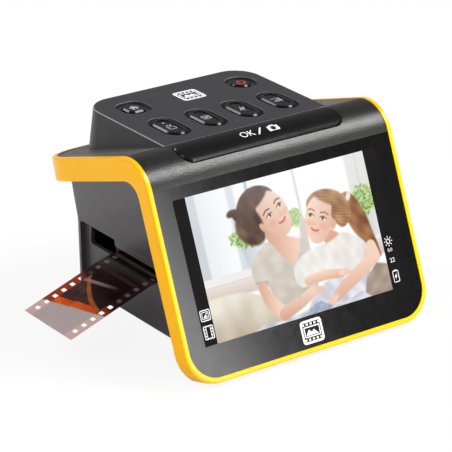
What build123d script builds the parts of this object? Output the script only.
from build123d import *
from math import cos, radians, sin, tan
import os

# Film negative scanner. Millimetres and degrees. +X is the viewer's right, +Y the rear, +Z up.
# The origin is the middle of the footprint, film strip included, on the desk under the feet.

# ---------------------------------------------------------------- driving dimensions
overall_width = 132.8       # across the trim
lean = 24.0                 # the front panel leans back from the vertical
wing_slope = 19.0           # the top wing falls towards the rear
panel_length = 84.2         # from the trim's foot to the start of the top curve
curve_radius = 16.5         # outside of the top curve
foot_y = -61.5              # front edge of the trim
foot_z = 1.8                # underside of the trim
rear_y = 61.5               # rear edge of the wing
rim = 2.4                   # trim thickness seen from the front
rim_proud = 0.3             # the trim stands this much above the window and covers
trim_front_depth = 7.5      # trim depth along the panel
trim_wing_depth = 10.2      # trim depth along the wing
trim_inner_radius = 9.0     # underside of the bend
bottom_corner = 15.5        # trim corner radius at the foot
rear_corner = 28.0          # trim corner radius at the rear of the wing
trim_rounding = 0.9
gap = 0.1                   # gap between fixed pieces
clearance = 0.3             # gap around moving pieces
skin = 1.5                  # window, curve cover and wing deck
tray_floor = 1.7            # closes the back of the trim
tray_wall = 1.5             # stands behind the edge of the window and covers

wall = 2.0                  # housing wall
body_width = 93.2           # across the upper side walls
body_base_z = 2.0
side_step = 2.5             # the lower side walls stand in by this much
step_z = 34.5
rear_foot_y = 51.6          # rear wall at the base
rear_lean = 5.0
side_lean = 8.0             # the upper side walls flare towards the wing
body_corner = 4.5
step_margin = 4.8           # the step stops this far before the rear wall
step_corner = 1.5

console_width = 88.6
console_front_y = -8.0
console_rear_y = 52.2
console_corner = 12.5
console_draft = 5.0
console_plate = 3.0
console_wall = 2.4
console_rounding = 0.7
console_ledge = 5.0         # the deck reaches this far in under the console
deck_front_y = -3.5         # front of the deck's opening under the console
deck_open_rear_y = 46.0

window_top = 83.6           # top of the display window, along the panel
screen_v = 46.0             # centre of the display, along the panel
lcd_side_margin = 7.4       # the display stops this far inside the trim's sides
lcd_top_margin = 1.8        # and this far under the window's top
lcd_glass_thickness = 1.0
lcd_thickness = 2.3
lcd_frame_wall = 1.0
lcd_frame_back = 0.4

slot_bottom = 24.7          # film slot in both side walls
slot_height = 5.0
slot_front_y = -14.3
slot_step_y = 26.6          # the slot is taller behind this line
slot_rear_y = 44.5
slot_tall_top = 33.5
slot_corner = 1.6

film_y = 6.2                # middle of the film and of the optics
film_z = 28.3
film_width = 35.0
film_thickness = 0.2
film_bend_x = 42.0          # the film starts to droop here
film_bend_radius = 40.0
film_droop = 19.6
film_tail = 39.9            # straight drooping end
perforation_pitch = 4.75
perforation_length = 2.0
perforation_width = 2.8
perforation_corner = 0.4
perforation_inset = 3.4     # hole centre from the film's edge
frame_length = 36.0
frame_height = 24.0

insert_left_x = -36.0
insert_flange = 3.6         # thickness of the stop flange outside the slot
insert_flange_margin = 3.0
insert_grip = 7.0
film_channel = 0.7

track_thickness = 2.0
track_wall = 1.4
gate_margin = 3.0
leg_diameter = 4.0
leg_from_wall = 4.1         # leg centre from the lower housing's inside
leg_rows = (-10.5, 21.0)
light_box_height = 8.0
light_box_margin = 5.0
light_wall = 1.5
diffuser_thickness = 1.5
light_board_thickness = 1.2
led_size = 3.0
led_height = 0.8
led_pitch_x = 14.0
led_pitch_y = 12.0
hood_plate = 1.5
hood_height = 12.5
hood_wall = 1.5
hood_top = 20.0
hood_mouth = 11.0
carrier_width = 24.0
carrier_height = 12.0
barrel_diameter = 14.0
barrel_length = 9.0
barrel_wall = 1.6
barrel_mouth = 8.6
lens_seat = 3.0
lens_thickness = 2.4
lens_crown = 0.8
sensor_width = 8.0
sensor_thickness = 1.2
sensor_board_width = 26.0
sensor_board_thickness = 1.2

board_z = 6.2               # underside of the main board
board_thickness = 1.6
board_from_wall = 9.1       # board edge from the lower housing's inside
board_front_y = -6.0
board_rear_y = 46.5
board_inset = 4.0           # board post centre from the board's edge
post_diameter = 4.0
socket_recess = 1.0         # socket mouth behind the outside of the rear wall
socket_shell = 0.4
socket_opening = 0.3        # gap round a socket in the rear wall
tongue_width = 0.7          # a socket's tongue as shares of the socket
tongue_height = 0.25
tongue_length = 0.7

key_travel = 0.6
key_lip = 1.0
key_lip_height = 0.9
key_proud = 0.3
function_key_width = 10.4
function_key_length = 19.6
function_key_pitch = 19.7
function_key_y = 9.4
function_key_offset = 1.1   # the row's middle is this far right of centre
key_bevel = 0.7
key_dish = 0.35
dish_inset = 2.3
round_key_y = 36.3
home_key_x = -27.9
power_key_x = 31.2
home_key_width = 8.8
home_key_corner = 2.6
power_key_diameter = 8.8
key_sink = 0.2              # home and power keys lie this far below the console top
round_well_margin = 3.0
function_well_margin = 1.6
well_depth = 1.5
status_light_x = 20.0
status_light_y = 38.7
status_light_diameter = 1.2
status_light_collar = 2.6
bar_width = 87.0
bar_front_angle = 38.0       # where the bar's front edge lies on the curve
bar_rear_angle = 8.0         # and its rear edge, behind the curve's top
bar_corner = 5.2
bar_proud = 0.9
bar_bevel = 0.6

key_rest = 0.4              # gap left over a switch when its key is down
key_board_thickness = 1.0
key_board_margin = 6.3      # board edge inside the console's outside
key_board_front_y = -20.0
key_board_rear_y = 44.0
switch_width = 4.2
switch_height = 1.0
plunger_diameter = 2.0
plunger_height = 0.8
bar_switch_x = 20.0
console_posts = ((-18.6, 9.4), (20.8, 9.4), (-12.0, 39.0), (10.0, 39.0))

foot_diameter = 9.0
foot_from_wall = 7.1        # foot centre from the lower housing's inside
foot_front_y = -43.0
foot_rear_y = 42.0
foot_sink = 0.6
foot_rounding = 0.4
screw_diameter = 2.5
screw_head = 4.6
screw_head_height = 1.4
screw_length = 9.0
cross_length = 2.8          # cross recess in a screw's head
cross_width = 0.7
cross_depth = 0.7
screw_clearance = 0.1
boss_diameter = 7.2
boss_top = 15.0
boss_from_wall = 3.2        # boss centre from the lower housing's inside
boss_rows = (-33.0, 3.0, 31.0)

# ---------------------------------------------------------------- worked-out places
half_width = overall_width / 2
body_half = body_width / 2
panel_up = (sin(radians(lean)), cos(radians(lean)))
panel_in = (cos(radians(lean)), -sin(radians(lean)))
wing_back = (cos(radians(wing_slope)), -sin(radians(wing_slope)))
wing_out = (sin(radians(wing_slope)), cos(radians(wing_slope)))


def panel_point(along, depth):
    """(y, z) of a point that far up the panel and that deep behind its face."""
    return (
        foot_y + along * panel_up[0] + depth * panel_in[0],
        foot_z + along * panel_up[1] + depth * panel_in[1],
    )


curve_y, curve_z = panel_point(panel_length, curve_radius)
wing_y = curve_y + curve_radius * wing_out[0]
wing_z = curve_z + curve_radius * wing_out[1]
wing_length = (rear_y - wing_y) / wing_back[0]
cover_radius = curve_radius - rim_proud
console_top = curve_z + cover_radius
console_base = console_top - console_plate
key_board_gap = clearance + key_lip_height + key_travel + key_rest + plunger_height + switch_height
key_board_z = console_base - key_board_gap
seat_depth = rim_proud + skin   # back of the window and covers
slot_top = slot_bottom + slot_height
lower_half = body_half - side_step
inner_half = lower_half - wall
boss_x = inner_half - boss_from_wall
foot_x = inner_half - foot_from_wall
leg_x = inner_half - leg_from_wall
board_half_width = inner_half - board_from_wall
key_board_half_width = console_width / 2 - key_board_margin
lcd_width = overall_width - 2 * lcd_side_margin
lcd_height = 2 * (window_top - lcd_top_margin - screen_v)
mid_y = (slot_front_y + slot_step_y) / 2


def wing_point(along, depth):
    """(y, z) of a point that far back along the wing and that deep under its face."""
    return (
        wing_y + along * wing_back[0] - depth * wing_out[0],
        wing_z + along * wing_back[1] - depth * wing_out[1],
    )


def bend_point(front_depth, wing_depth):
    """(y, z) where the panel's and the wing's lines at these depths would cross."""
    ay, az = panel_point(0, front_depth)
    by, bz = wing_point(0, wing_depth)
    along = ((by - ay) * wing_back[1] - (bz - az) * wing_back[0]) / (
        panel_up[0] * wing_back[1] - panel_up[1] * wing_back[0]
    )
    return (ay + along * panel_up[0], az + along * panel_up[1])


def panel_y(z, depth):
    """y of the panel's line at this depth and height."""
    return foot_y + (z - foot_z) * tan(radians(lean)) + depth / cos(radians(lean))


def rear_wall_y(z, inset=0.0):
    """y of the rear wall's outside, or of a line inset from it, at this height."""
    return rear_foot_y + (z - body_base_z) * tan(radians(rear_lean)) - inset


def rear_wall_meets_wing(wing_depth, inset):
    """(y, z) where the rear wall's line meets the wing's line at this depth."""
    slope = tan(radians(rear_lean))
    along = (
        rear_wall_y(body_base_z, inset)
        + (wing_z - wing_depth * wing_out[1] - body_base_z) * slope
        - wing_y
        + wing_depth * wing_out[0]
    ) / (wing_back[0] - wing_back[1] * slope)
    return wing_point(along, wing_depth)


panel_plane = Plane(
    origin=(0, foot_y, foot_z), x_dir=(1, 0, 0), z_dir=(0, -panel_in[0], -panel_in[1])
)
panel_normal = Axis((0, 0, 0), (0, -panel_in[0], -panel_in[1]))
wing_normal = Axis((0, 0, 0), (0, *wing_out))
rear_wall_normal = Axis((0, 0, 0), (0, cos(radians(rear_lean)), -sin(radians(rear_lean))))
floor_cut = 40.0            # depth of the block that cuts shells off at the base


def on_face(point, depth=0.0):
    """Whether a point lies on the trim's front and top surface, or at a depth under it."""
    panel_depth = (point.Y - foot_y) * panel_in[0] + (point.Z - foot_z) * panel_in[1]
    wing_depth = -(point.Y - wing_y) * wing_out[0] - (point.Z - wing_z) * wing_out[1]
    from_axis = ((point.Y - curve_y) ** 2 + (point.Z - curve_z) ** 2) ** 0.5
    return min(
        abs(panel_depth - depth), abs(wing_depth - depth), abs(from_axis + depth - curve_radius)
    ) < 0.001


def bent_plate(outer, inner, outer_radius, inner_radius, inset):
    """A bent plate with rounded corners, inset all round from the trim's outside.

    outer and inner are (depth behind the panel, depth under the wing) of its two sides.
    """
    end = wing_length - inset
    with BuildPart() as plate:
        with BuildSketch(Plane.YZ):
            with BuildLine():
                FilletPolyline(
                    panel_point(inset, inner[0]), bend_point(*inner), wing_point(end, inner[1]),
                    radius=inner_radius,
                )
                FilletPolyline(
                    panel_point(inset, outer[0]), bend_point(*outer), wing_point(end, outer[1]),
                    radius=outer_radius,
                )
                Line(panel_point(inset, inner[0]), panel_point(inset, outer[0]))
                Line(wing_point(end, inner[1]), wing_point(end, outer[1]))
            make_face()
        extrude(amount=half_width - inset, both=True)
        fillet(
            plate.edges().filter_by(panel_normal).sort_by(Axis.Z)[:2], bottom_corner - inset
        )
        fillet(plate.edges().filter_by(wing_normal).sort_by(Axis.Y)[-2:], rear_corner - inset)
    return plate.part


def body_prism(
    half, front_depth, wing_depth, bend_radius, rear_inset, base_z, corner, flare
):
    """The housing's outline from a base height up to the wing.

    half is the half width at the step's height, from which the sides flare upwards.
    """
    with BuildPart() as prism:
        with BuildSketch(Plane.YZ):
            with BuildLine():
                front_foot = (panel_y(base_z, front_depth), base_z)
                rear_foot = (rear_wall_y(base_z, rear_inset), base_z)
                rear_top = rear_wall_meets_wing(wing_depth, rear_inset)
                FilletPolyline(
                    front_foot, bend_point(front_depth, wing_depth), rear_top,
                    radius=bend_radius,
                )
                Polyline(rear_top, rear_foot, front_foot)
            make_face()
        extrude(amount=half_width, both=True)
        for side in (-1, 1):
            side_plane = Plane(
                origin=(side * half, 0, step_z),
                x_dir=(0, 1, 0),
                z_dir=(side * cos(radians(flare)), 0, -sin(radians(flare))),
            )
            split(bisect_by=side_plane, keep=Keep.BOTTOM)
        rear_face = prism.faces().sort_by(rear_wall_normal)[-1]
        fillet(
            rear_face.edges().filter_by(lambda edge: abs(edge.tangent_at(0.5).X) < 0.5), corner
        )
    return prism.part


def export(part, name):
    part.label = name
    export_step(part, f"parts/{name}.step")


os.makedirs("parts", exist_ok=True)

# ---------------------------------------------------------------- trim
with BuildPart() as trim_ring:
    add(
        bent_plate(
            (0, 0), (trim_front_depth, trim_wing_depth), curve_radius, trim_inner_radius, 0
        )
    )
    rim_edges = trim_ring.edges().filter_by(
        lambda edge: on_face(edge @ 0.5) and on_face(edge @ 0.1) and on_face(edge @ 0.9)
    )
    seam_edges = rim_edges.filter_by(Axis.X).sort_by(Axis.Z)[-2:]
    fillet([edge for edge in rim_edges if edge not in seam_edges], trim_rounding)
    add(
        bent_plate(
            (-gap, -gap), (trim_front_depth + gap, trim_wing_depth + gap),
            curve_radius + gap, trim_inner_radius - gap, rim,
        ),
        mode=Mode.SUBTRACT,
    )
    with Locations((0, 0, foot_z - floor_cut / 2)):
        Box(2 * overall_width, 4 * rear_y, floor_cut, mode=Mode.SUBTRACT)
export(trim_ring.part, "trim_ring")

# ---------------------------------------------------------------- display window and display
edge_inset = rim + gap
with BuildPart() as display_window:
    with BuildSketch(panel_plane.offset(-rim_proud)) as window_face:
        with Locations((0, (edge_inset + window_top) / 2)):
            Rectangle(2 * (half_width - edge_inset), window_top - edge_inset)
        fillet(window_face.vertices().sort_by(Axis.Y)[:2], bottom_corner - edge_inset)
    extrude(amount=-skin)
export(display_window.part, "display_window")


def panel_slab(width, height, depth, thickness):
    """A rectangular slab on the display's centre, its front at this depth."""
    with BuildPart() as slab:
        with BuildSketch(panel_plane.offset(-depth)):
            with Locations((0, screen_v)):
                Rectangle(width, height)
        extrude(amount=-thickness)
    return slab.part


lcd_module_depth = seat_depth + lcd_glass_thickness
lcd_back_depth = lcd_module_depth + lcd_thickness
export(panel_slab(lcd_width, lcd_height, seat_depth, lcd_glass_thickness), "lcd_glass")
export(panel_slab(lcd_width, lcd_height, lcd_module_depth, lcd_thickness), "lcd_module")

frame_grow = 2 * (lcd_frame_wall + gap)
with BuildPart() as lcd_frame:
    add(
        panel_slab(
            lcd_width + frame_grow, lcd_height + frame_grow, seat_depth,
            lcd_back_depth + lcd_frame_back - seat_depth,
        )
    )
    add(
        panel_slab(
            lcd_width + 2 * gap, lcd_height + 2 * gap, seat_depth, lcd_back_depth - seat_depth
        ),
        mode=Mode.SUBTRACT,
    )
export(lcd_frame.part, "lcd_frame")

# ---------------------------------------------------------------- shells over the bend and wing
tray_front_depth = trim_front_depth - gap
tray_wing_depth = trim_wing_depth - gap
tray_radius = trim_inner_radius + gap
shell = bent_plate(
    (rim_proud, rim_proud), (seat_depth, seat_depth), cover_radius, cover_radius - skin,
    edge_inset,
)
window_edge = Plane(
    origin=(0, *panel_point(window_top + gap, 0)), x_dir=(1, 0, 0), z_dir=(0, *panel_up)
)
cover_edge = Plane(origin=(0, *wing_point(0, 0)), x_dir=(1, 0, 0), z_dir=(0, *wing_back))
deck_edge = Plane(origin=(0, *wing_point(gap, 0)), x_dir=(1, 0, 0), z_dir=(0, *wing_back))

bar_turn = (bar_front_angle + bar_rear_angle) / 2
bar_lean = bar_front_angle - bar_turn
bar_out = (-sin(radians(bar_lean)), cos(radians(bar_lean)))
bar_plane = Plane(origin=(0, curve_y, curve_z), x_dir=(1, 0, 0), z_dir=(0, *bar_out))
bar_axis = Axis((0, curve_y, curve_z), (0, *bar_out))
bar_radius = cover_radius + bar_proud
bar_reach = 2 * bar_radius * sin(radians(bar_turn))


def bar_block(grow, outer_radius, inner_radius):
    """The bar's rounded outline, grown all round, between two radii of the curve."""
    with BuildPart() as block:
        with BuildSketch(bar_plane):
            RectangleRounded(bar_width + 2 * grow, bar_reach + 2 * grow, bar_corner + grow)
        extrude(amount=2 * curve_radius)
        with BuildSketch(Plane.YZ):
            with Locations((curve_y, curve_z)):
                Circle(outer_radius)
                Circle(inner_radius, mode=Mode.SUBTRACT)
        extrude(amount=half_width, both=True, mode=Mode.INTERSECT)
    return block.part


with BuildPart() as curve_cover:
    add(shell)
    split(bisect_by=window_edge, keep=Keep.TOP)
    split(bisect_by=cover_edge, keep=Keep.BOTTOM)
    add(bar_block(clearance, curve_radius + bar_proud, curve_radius / 2), mode=Mode.SUBTRACT)
export(curve_cover.part, "curve_cover")

with BuildPart() as wing_deck:
    add(shell)
    split(bisect_by=deck_edge, keep=Keep.TOP)
    with BuildSketch(Plane.XY):
        with Locations((0, (deck_front_y + deck_open_rear_y) / 2)):
            Rectangle(console_width - 2 * console_ledge, deck_open_rear_y - deck_front_y)
    extrude(amount=console_top, mode=Mode.SUBTRACT)
export(wing_deck.part, "wing_deck")

# ---------------------------------------------------------------- console
function_key_names = ("key_left", "key_mid_left", "key_mid_right", "key_right")
row_middle = (len(function_key_names) - 1) / 2
function_key_x = [
    function_key_offset + (number - row_middle) * function_key_pitch
    for number in range(len(function_key_names))
]
function_keys = list(zip(function_key_names, function_key_x))
all_keys = [("function", name, x, function_key_y) for name, x in function_keys] + [
    ("home", "home_key", home_key_x, round_key_y),
    ("power", "power_key", power_key_x, round_key_y),
]


def key_outline(kind, grow):
    """The outline of a key, grown all round, on the sketch that is open."""
    if kind == "function":
        SlotOverall(
            function_key_length + 2 * grow, function_key_width + 2 * grow, rotation=90
        )
    elif kind == "home":
        RectangleRounded(
            home_key_width + 2 * grow, home_key_width + 2 * grow, home_key_corner + grow
        )
    else:
        Circle(power_key_diameter / 2 + grow)


def console_block(inset, top):
    """The console's drafted outline, inset all round, from this height down."""
    with BuildPart() as block:
        with BuildSketch(Plane.XY.offset(top)) as outline:
            with Locations((0, (console_front_y + console_rear_y) / 2)):
                Rectangle(console_width - 2 * inset, console_rear_y - console_front_y - 2 * inset)
            fillet(outline.vertices().sort_by(Axis.Y)[-2:], console_corner - inset)
        extrude(amount=-console_top / 2, taper=-console_draft)
    return block.part


with BuildPart() as console:
    add(console_block(0, console_top))
    split(bisect_by=Plane.XZ.offset(-console_front_y), keep=Keep.BOTTOM)
    top_edges = console.faces().sort_by(Axis.Z)[-1].edges()
    fillet(top_edges.sort_by(Axis.Y)[1:], console_rounding)
    add(console_block(console_wall, console_base), mode=Mode.SUBTRACT)
    with Locations(*[(x, y, (console_base + key_board_z) / 2) for x, y in console_posts]):
        Cylinder(post_diameter / 2, key_board_gap)
    for kind, name, x, y in all_keys:
        margin = function_well_margin if kind == "function" else round_well_margin
        with BuildSketch(Plane((x, y, console_top))):
            key_outline(kind, margin)
        extrude(amount=-well_depth, mode=Mode.SUBTRACT)
        with BuildSketch(Plane((x, y, console_top))):
            key_outline(kind, clearance)
        extrude(amount=-console_plate, mode=Mode.SUBTRACT)
    with Locations((status_light_x, status_light_y, console_top)):
        Hole(status_light_diameter / 2 + gap / 2, console_plate)
    with BuildSketch(Plane.YZ):
        with BuildLine():
            below_deck_rear = wing_point(2 * wing_length, rim_proud)
            FilletPolyline(
                panel_point(0, rim_proud), bend_point(rim_proud, rim_proud), below_deck_rear,
                radius=cover_radius,
            )
            Line(below_deck_rear, panel_point(0, rim_proud))
        make_face()
    extrude(amount=half_width, both=True, mode=Mode.SUBTRACT)
    with Locations((0, 0, 0)):
        Box(overall_width, 4 * rear_y, console_top, mode=Mode.SUBTRACT)
export(console.part, "console")

# ---------------------------------------------------------------- keys, bar and status light
lip_top = console_base - clearance
lip_bottom = lip_top - key_lip_height
for kind, name, x, y in all_keys:
    key_top = console_top + (key_proud if kind == "function" else -key_sink)
    with BuildPart() as key:
        with BuildSketch(Plane((x, y, key_top))):
            key_outline(kind, 0)
        extrude(amount=lip_bottom - key_top)
        chamfer(key.faces().sort_by(Axis.Z)[-1].edges(), key_bevel)
        if kind == "function":
            with BuildSketch(Plane((x, y, key_top))):
                key_outline(kind, -dish_inset)
            extrude(amount=-key_dish, mode=Mode.SUBTRACT)
        with BuildSketch(Plane((x, y, lip_top))):
            key_outline(kind, key_lip)
        extrude(amount=-key_lip_height)
    export(key.part, name)

bar_lip_radius = cover_radius - skin - clearance
with BuildPart() as ok_bar:
    add(bar_block(0, bar_radius, bar_lip_radius - key_lip_height))
    chamfer(ok_bar.faces().sort_by(bar_axis)[-1].edges(), bar_bevel)
    add(bar_block(key_lip, bar_lip_radius, bar_lip_radius - key_lip_height))
export(ok_bar.part, "ok_bar")

with BuildPart() as status_light:
    with Locations((status_light_x, status_light_y, (console_top + lip_bottom) / 2)):
        Cylinder(status_light_diameter / 2, console_top - lip_bottom)
    with Locations((status_light_x, status_light_y, (console_base + lip_bottom) / 2)):
        Cylinder(status_light_collar / 2, console_base - lip_bottom)
export(status_light.part, "status_light")

# ---------------------------------------------------------------- key board and switches
with BuildPart() as key_board:
    with BuildSketch(Plane.XY.offset(key_board_z)):
        with Locations((0, (key_board_front_y + key_board_rear_y) / 2)):
            Rectangle(2 * key_board_half_width, key_board_rear_y - key_board_front_y)
    extrude(amount=-key_board_thickness)
    with Locations(*[(x, y, key_board_z) for x, y in console_posts]):
        Hole(screw_diameter / 2, key_board_thickness)
export(key_board.part, "key_board")

bar_switch_y = curve_y - cover_radius * sin(radians(bar_lean))
switch_places = [(f"switch_{name}", x, y) for kind, name, x, y in all_keys] + [
    ("switch_bar_left", -bar_switch_x, bar_switch_y),
    ("switch_bar_right", bar_switch_x, bar_switch_y),
]
for name, x, y in switch_places:
    with BuildPart() as switch:
        with Locations((x, y, key_board_z + switch_height / 2)):
            Box(switch_width, switch_width, switch_height)
        with Locations((x, y, key_board_z + switch_height + plunger_height / 2)):
            Cylinder(plunger_diameter / 2, plunger_height)
    export(switch.part, name)

# ---------------------------------------------------------------- upper housing
with BuildPart() as trim_room:
    add(
        bent_plate(
            (-gap, -gap), (trim_front_depth + gap, trim_wing_depth + gap),
            curve_radius + gap, trim_inner_radius - gap, -rim,
        )
    )
    add(
        bent_plate(
            (-rim, -rim), (trim_front_depth + rim, trim_wing_depth + rim),
            curve_radius + rim, trim_inner_radius - rim, edge_inset,
        ),
        mode=Mode.SUBTRACT,
    )
with BuildPart() as upper_body:
    add(
        bent_plate(
            (seat_depth, seat_depth), (tray_front_depth, tray_wing_depth),
            curve_radius - seat_depth, tray_radius, edge_inset,
        )
    )
    add(
        bent_plate(
            (0, 0), (tray_front_depth - tray_floor, tray_wing_depth - tray_floor),
            curve_radius, tray_radius + tray_floor, edge_inset + tray_wall,
        ),
        mode=Mode.SUBTRACT,
    )
    add(
        body_prism(
            body_half, tray_front_depth - tray_floor, tray_wing_depth - tray_floor,
            tray_radius + tray_floor, 0, step_z + gap, body_corner, side_lean,
        )
    )
    add(trim_room.part, mode=Mode.SUBTRACT)
    add(
        body_prism(
            body_half - wall, 0, 0, curve_radius, wall, step_z + gap + wall,
            body_corner - wall, side_lean,
        ),
        mode=Mode.SUBTRACT,
    )
    add(
        body_prism(
            inner_half, tray_front_depth, tray_wing_depth, tray_radius, wall, step_z,
            body_corner - wall, 0,
        ),
        mode=Mode.SUBTRACT,
    )
    with Locations((0, 0, foot_z + gap - floor_cut / 2)):
        Box(2 * overall_width, 4 * rear_y, floor_cut, mode=Mode.SUBTRACT)
export(upper_body.part, "upper_body")

# ---------------------------------------------------------------- sockets in the rear wall
board_top = board_z + board_thickness
sockets = (
    # name, x, width, height, length, corner radius
    ("usb_socket", 26.0, 9.2, 3.4, 8.0, 1.6),
    ("hdmi_socket", 10.0, 15.2, 5.8, 12.0, 0.8),
    ("card_socket", -16.0, 26.0, 3.6, 22.0, 0.5),
)

# ---------------------------------------------------------------- lower housing
with BuildPart() as lower_body:
    add(
        body_prism(
            body_half, trim_front_depth, trim_wing_depth, trim_inner_radius, 0, body_base_z,
            body_corner, 0,
        )
    )
    with BuildSketch(Plane.XY.offset(step_z)):
        Rectangle(4 * half_width, 4 * rear_y)
    extrude(amount=console_top, mode=Mode.SUBTRACT)
    for side in (-1, 1):
        with BuildSketch(Plane.YZ.offset(side * lower_half)) as step:
            with BuildLine():
                Polyline(
                    (foot_y, -floor_cut),
                    (rear_wall_y(-floor_cut, step_margin), -floor_cut),
                    (rear_wall_y(step_z, step_margin), step_z),
                    (foot_y, step_z),
                    close=True,
                )
            make_face()
            fillet(step.vertices().group_by(Axis.Y)[-1], step_corner)
        extrude(amount=side * half_width, mode=Mode.SUBTRACT)
    add(
        body_prism(
            inner_half, 0, 0, curve_radius, wall, body_base_z, body_corner - wall, 0
        ),
        mode=Mode.SUBTRACT,
    )
    for x in (-boss_x, boss_x):
        for y in boss_rows:
            with BuildSketch(Plane((x, y, body_base_z + wall))):
                Circle(boss_diameter / 2)
                Rectangle(2 * (lower_half - boss_x), boss_diameter)
                with Locations((-x / 2, 0)):
                    Rectangle(boss_x, boss_diameter, mode=Mode.SUBTRACT)
            extrude(amount=boss_top - body_base_z - wall)
            with Locations((x, y, boss_top)):
                Hole(screw_diameter / 2 + screw_clearance / 2, boss_top)
    with BuildSketch(Plane.YZ):
        with BuildLine():
            Polyline(
                (slot_front_y, slot_bottom),
                (slot_rear_y, slot_bottom),
                (slot_rear_y, slot_tall_top),
                (slot_step_y, slot_tall_top),
                (slot_step_y, slot_top),
                (slot_front_y, slot_top),
                close=True,
            )
        make_face()
        fillet(vertices().filter_by(lambda v: abs(v.Y - slot_step_y) > gap), slot_corner)
    extrude(amount=half_width, both=True, mode=Mode.SUBTRACT)
    for name, x, width, height, length, corner in sockets:
        with BuildSketch(Plane.XZ.offset(-board_rear_y)):
            with Locations((x, board_top + height / 2)):
                RectangleRounded(
                    width + 2 * socket_opening, height + 2 * socket_opening, corner
                )
        extrude(amount=-rear_y, mode=Mode.SUBTRACT)
export(lower_body.part, "lower_body")

# ---------------------------------------------------------------- base plate, feet and screws
board_posts = [
    (x, y)
    for x in (-board_half_width + board_inset, board_half_width - board_inset)
    for y in (board_front_y + board_inset, board_rear_y - board_inset)
]
screw_places = [(x, y) for x in (-boss_x, boss_x) for y in boss_rows]
foot_places = [(x, y) for x in (-foot_x, foot_x) for y in (foot_front_y, foot_rear_y)]
plate_top = body_base_z + wall
with BuildPart() as base_plate:
    add(
        body_prism(
            inner_half - gap, trim_front_depth, trim_wing_depth, trim_inner_radius,
            wall + gap, body_base_z, body_corner - wall, 0,
        )
    )
    with BuildSketch(Plane.XY.offset(plate_top)):
        Rectangle(overall_width, 4 * rear_y)
    extrude(amount=console_top, mode=Mode.SUBTRACT)
    with Locations(*[(x, y, (plate_top + board_z) / 2) for x, y in board_posts]):
        Cylinder(post_diameter / 2, board_z - plate_top)
    with Locations(*[(x, y, plate_top) for x, y in screw_places]):
        Hole(screw_diameter / 2 + screw_clearance, wall)
    for x, y in screw_places:
        with BuildSketch(Plane((x, y, body_base_z))):
            Circle(screw_head / 2 + screw_clearance)
        extrude(amount=screw_head_height, mode=Mode.SUBTRACT)
    for x, y in foot_places:
        with BuildSketch(Plane((x, y, body_base_z))):
            Circle(foot_diameter / 2)
        extrude(amount=foot_sink, mode=Mode.SUBTRACT)
export(base_plate.part, "base_plate")

for number, (x, y) in enumerate(foot_places, start=1):
    with BuildPart() as foot:
        with BuildSketch(Plane((x, y, 0))):
            Circle(foot_diameter / 2)
        extrude(amount=body_base_z + foot_sink)
        fillet(foot.faces().sort_by(Axis.Z)[0].edges(), foot_rounding)
    export(foot.part, f"foot_{number}")

for number, (x, y) in enumerate(screw_places, start=1):
    with BuildPart() as screw:
        with BuildSketch(Plane((x, y, body_base_z))):
            Circle(screw_head / 2)
        extrude(amount=screw_head_height)
        with BuildSketch(Plane((x, y, body_base_z + screw_head_height))):
            Circle(screw_diameter / 2)
        extrude(amount=screw_length)
        with BuildSketch(Plane((x, y, body_base_z))):
            Rectangle(cross_length, cross_width)
            Rectangle(cross_width, cross_length)
        extrude(amount=cross_depth, mode=Mode.SUBTRACT)
    export(screw.part, f"screw_{number}")

# ---------------------------------------------------------------- main board and sockets
with BuildPart() as main_board:
    with BuildSketch(Plane.XY.offset(board_z)):
        with Locations((0, (board_front_y + board_rear_y) / 2)):
            Rectangle(2 * board_half_width, board_rear_y - board_front_y)
    extrude(amount=board_thickness)
export(main_board.part, "main_board")

chips = (
    # name, x, y, width, length, height
    ("processor_can", -12.0, 10.0, 20.0, 18.0, 2.4),
    ("memory_chip", 10.0, 12.0, 11.0, 9.0, 1.2),
    ("power_chip", 24.0, 4.0, 6.0, 6.0, 1.2),
)
for name, x, y, width, length, height in chips:
    with BuildPart() as chip:
        with Locations((x, y, board_top + height / 2)):
            Box(width, length, height)
    export(chip.part, name)

for name, x, width, height, length, corner in sockets:
    mouth_y = rear_wall_y(board_top, socket_recess)
    middle_z = board_top + height / 2
    mouth_plane = Plane(origin=(x, mouth_y, middle_z), x_dir=(1, 0, 0), z_dir=(0, -1, 0))
    with BuildPart() as socket:
        with BuildSketch(mouth_plane):
            RectangleRounded(width, height, corner)
        extrude(amount=length)
        with BuildSketch(mouth_plane):
            RectangleRounded(
                width - 2 * socket_shell, height - 2 * socket_shell, corner - socket_shell
            )
        extrude(amount=length - socket_shell, mode=Mode.SUBTRACT)
        if name != "card_socket":
            with BuildSketch(mouth_plane.offset(length - socket_shell)):
                Rectangle(width * tongue_width, height * tongue_height)
            extrude(amount=-length * tongue_length)
    export(socket.part, name)

# ---------------------------------------------------------------- film guide
track_half = inner_half - gap
track_front_y = slot_front_y - track_wall
track_rear_y = slot_step_y + track_wall
hood_z = slot_top + clearance
gate_width = frame_length + 2 * gate_margin
gate_height = frame_height + 2 * gate_margin
with BuildPart() as gate_track:
    with BuildSketch(Plane.YZ):
        with BuildLine():
            Polyline(
                (track_front_y, slot_bottom - track_thickness),
                (track_rear_y, slot_bottom - track_thickness),
                (track_rear_y, hood_z),
                (slot_step_y, hood_z),
                (slot_step_y, slot_bottom),
                (slot_front_y, slot_bottom),
                (slot_front_y, hood_z),
                (track_front_y, hood_z),
                close=True,
            )
        make_face()
    extrude(amount=track_half, both=True)
    with BuildSketch(Plane.XY):
        with Locations((0, film_y)):
            Rectangle(gate_width, gate_height)
    extrude(amount=slot_bottom, mode=Mode.SUBTRACT)
    for x in (-leg_x, leg_x):
        for y in leg_rows:
            with BuildSketch(Plane((x, y, plate_top))):
                Circle(leg_diameter / 2)
            extrude(amount=slot_bottom - track_thickness - plate_top)
export(gate_track.part, "gate_track")

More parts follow.
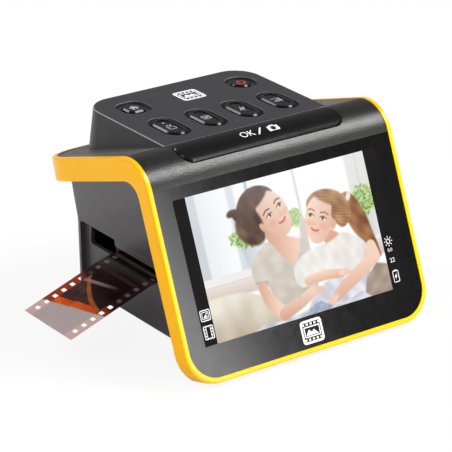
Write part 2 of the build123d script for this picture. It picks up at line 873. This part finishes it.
# ---------------------------------------------------------------- light under the film
light_top = slot_bottom - track_thickness
light_width = frame_length + 2 * light_box_margin
light_length = frame_height + 2 * light_box_margin
light_box_top = light_top - diffuser_thickness
light_floor = light_box_top - light_box_height + light_wall


def slab(width, length, base, thickness):
    """A rectangular slab centred on the film's frame."""
    with BuildPart() as block:
        with BuildSketch(Plane((0, film_y, base))):
            Rectangle(width, length)
        extrude(amount=thickness)
    return block.part


export(slab(light_width, light_length, light_box_top, diffuser_thickness), "diffuser")
inner_width = light_width - 2 * light_wall
inner_length = light_length - 2 * light_wall
with BuildPart() as light_box:
    add(slab(light_width, light_length, light_floor - light_wall, light_box_height))
    add(
        slab(inner_width, inner_length, light_floor, light_box_height),
        mode=Mode.SUBTRACT,
    )
export(light_box.part, "light_box")
with BuildPart() as light_board:
    add(slab(inner_width - 2 * gap, inner_length - 2 * gap, light_floor, light_board_thickness))
    led_z = light_floor + light_board_thickness + led_height / 2
    with Locations((0, film_y, led_z)):
        with GridLocations(led_pitch_x, led_pitch_y, 3, 2):
            Box(led_size, led_size, led_height)
export(light_board.part, "light_board")

# ---------------------------------------------------------------- camera over the film
hood_base = hood_z + hood_plate
with BuildPart() as optics_hood:
    with BuildSketch(Plane((0, film_y, hood_base))):
        Rectangle(gate_width + 2 * hood_wall, gate_height + 2 * hood_wall)
    with BuildSketch(Plane((0, film_y, hood_z + hood_height))):
        Rectangle(hood_top + 2 * hood_wall, hood_top + 2 * hood_wall)
    loft()
    with BuildSketch(Plane((0, mid_y, hood_z))):
        Rectangle(gate_width + 2 * hood_wall, track_rear_y - track_front_y)
    extrude(amount=hood_plate)
    with BuildSketch(Plane((0, film_y, hood_z))):
        Rectangle(gate_width, gate_height)
    with BuildSketch(Plane((0, film_y, hood_z + hood_height - hood_wall))):
        Rectangle(hood_top, hood_top)
    loft(mode=Mode.SUBTRACT)
    with Locations((0, film_y, hood_z + hood_height)):
        Hole(hood_mouth / 2, 2 * hood_wall)
export(optics_hood.part, "optics_hood")

carrier_z = hood_z + hood_height
with BuildPart() as lens_carrier:
    add(slab(carrier_width, carrier_width, carrier_z, carrier_height))
    with Locations((0, film_y, carrier_z + carrier_height)):
        Hole(barrel_diameter / 2 + gap / 2, carrier_height)
export(lens_carrier.part, "lens_carrier")

with BuildPart() as lens_barrel:
    with BuildSketch(Plane((0, film_y, carrier_z))):
        Circle(barrel_diameter / 2)
    extrude(amount=barrel_length)
    with Locations((0, film_y, carrier_z + barrel_length)):
        CounterBoreHole(
            barrel_mouth / 2, barrel_diameter / 2 - barrel_wall, barrel_length - lens_seat
        )
export(lens_barrel.part, "lens_barrel")

lens_radius = barrel_diameter / 2 - barrel_wall - gap / 2
with BuildPart() as lens:
    with BuildSketch(Plane.XZ.offset(-film_y)):
        with BuildLine():
            lens_foot = carrier_z + lens_seat
            lens_top = lens_foot + lens_thickness
            rim_top = lens_top - lens_crown
            Polyline((0, lens_foot), (lens_radius, lens_foot), (lens_radius, rim_top))
            TangentArc((0, lens_top), (lens_radius, rim_top), tangent=(1, 0))
            Line((0, lens_top), (0, lens_foot))
        make_face()
    revolve(axis=Axis((0, film_y, 0), (0, 0, 1)))
export(lens.part, "lens")

sensor_z = carrier_z + carrier_height
export(
    slab(sensor_board_width, sensor_board_width, sensor_z, sensor_board_thickness),
    "sensor_board",
)
export(
    slab(sensor_width, sensor_width, sensor_z - sensor_thickness, sensor_thickness),
    "image_sensor",
)

# ---------------------------------------------------------------- film insert
insert_front_y = slot_front_y + clearance
insert_rear_y = slot_step_y - clearance
insert_bottom = slot_bottom + clearance
insert_top = slot_top - clearance
insert_stop_x = lower_half + clearance
insert_grip_x = insert_stop_x + insert_flange
with BuildPart() as film_insert:
    with BuildSketch(Plane.YZ.offset(insert_left_x)):
        with Locations((mid_y, (insert_bottom + insert_top) / 2)):
            RectangleRounded(
                insert_rear_y - insert_front_y, insert_top - insert_bottom, slot_corner
            )
    extrude(amount=insert_stop_x - insert_left_x)
    with BuildSketch(Plane.YZ.offset(insert_stop_x)):
        with Locations((mid_y, (insert_bottom + insert_top) / 2)):
            RectangleRounded(
                insert_rear_y - insert_front_y + insert_flange_margin,
                slot_height + insert_flange_margin,
                insert_flange_margin / 2,
            )
    extrude(amount=insert_flange)
    with BuildSketch(Plane.XY.offset(insert_bottom)):
        with Locations((insert_grip_x + insert_grip / 2, film_y)):
            Rectangle(insert_grip, film_width + 2 * clearance + insert_flange_margin)
    extrude(amount=insert_top - insert_bottom)
    with BuildSketch(Plane.XY.offset(insert_bottom)):
        with Locations((0, film_y)):
            Rectangle(frame_length, frame_height)
    extrude(amount=insert_top - insert_bottom, mode=Mode.SUBTRACT)
    with BuildSketch(Plane.YZ.offset(insert_left_x)):
        with Locations((film_y, film_z)):
            Rectangle(film_width + 2 * clearance, film_channel)
    extrude(amount=overall_width, mode=Mode.SUBTRACT)
export(film_insert.part, "film_insert")

# ---------------------------------------------------------------- film strip
bend_length = film_bend_radius * radians(film_droop)
droop_x = sin(radians(film_droop))
droop_z = cos(radians(film_droop))
bend_end_x = -film_bend_x - film_bend_radius * droop_x
bend_end_z = film_z - film_bend_radius * (1 - droop_z)
film_tip_x = bend_end_x - film_tail * droop_z
film_length = film_tail + bend_length + film_bend_x - film_tip_x


def film_place(along):
    """(x, z, droop) at a distance along the film from its drooping end."""
    if along < film_tail:
        back = film_tail - along
        return (bend_end_x - back * droop_z, bend_end_z - back * droop_x, film_droop)
    if along < film_tail + bend_length:
        droop = film_droop * (1 - (along - film_tail) / bend_length)
        return (
            -film_bend_x - film_bend_radius * sin(radians(droop)),
            film_z - film_bend_radius * (1 - cos(radians(droop))),
            droop,
        )
    return (-film_bend_x + along - film_tail - bend_length, film_z, 0.0)


hole_count = int((film_length - perforation_pitch) / perforation_pitch)
hole_row = film_width / 2 - perforation_inset
with BuildPart() as film_strip:
    with BuildSketch(Plane.XZ.offset(-film_y)):
        with BuildLine():
            tip = Line((film_tip_x, bend_end_z - film_tail * droop_x), (bend_end_x, bend_end_z))
            bend = TangentArc(tip @ 1, (-film_bend_x, film_z), tangent=tip % 1)
            Line(bend @ 1, (-film_tip_x, film_z))
        trace(line_width=film_thickness)
    extrude(amount=film_width / 2, both=True)
    for number in range(hole_count):
        x, z, droop = film_place(perforation_pitch * (number + 1))
        hole_plane = Plane(
            origin=(x, film_y, z),
            x_dir=(cos(radians(droop)), 0, sin(radians(droop))),
            z_dir=(-sin(radians(droop)), 0, cos(radians(droop))),
        )
        with BuildSketch(hole_plane):
            with Locations((0, -hole_row), (0, hole_row)):
                RectangleRounded(perforation_length, perforation_width, perforation_corner)
    extrude(amount=film_thickness, both=True, mode=Mode.SUBTRACT)
export(film_strip.part, "film_strip")
